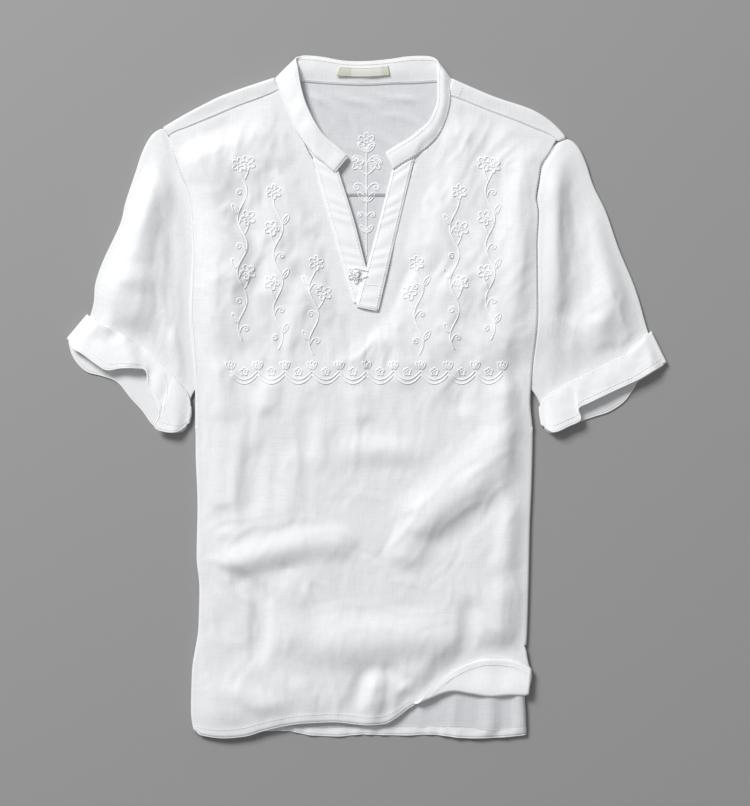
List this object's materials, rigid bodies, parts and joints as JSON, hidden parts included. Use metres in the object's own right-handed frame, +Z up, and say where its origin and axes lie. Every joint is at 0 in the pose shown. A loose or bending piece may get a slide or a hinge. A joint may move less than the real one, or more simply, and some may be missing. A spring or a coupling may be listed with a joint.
{
  "type": "linen shirt",
  "caption": "Collarless white linen shirt laid flat, with a band neck, a half placket, a yoke, wide sleeves and turned-back cuffs.",
  "frame": {"origin": "on the back's flat underside, below the middle of the laid-out shirt", "axes": "+Z up from the surface it lies on, +Y towards the neck, +X to the right seen from above"},
  "size_m": [0.6418, 0.728, 0.0209],
  "materials": {
    "linen": "woven, slubbed, softly creased",
    "label_cloth": "woven tape, bare",
    "button": "knotted cord",
    "loop_thread": "twisted thread"
  },
  "bodies": {
    "root": {"front_panel": "linen", "back_panel": "linen", "yoke": "linen", "collar_band": "linen", "placket_left": "linen", "placket_right": "linen", "sleeve_left": "linen", "sleeve_right": "linen", "cuff_left": "linen", "cuff_right": "linen", "neck_label": "label_cloth", "button": "button", "button_loop": "loop_thread"}
  },
  "joints": []
}
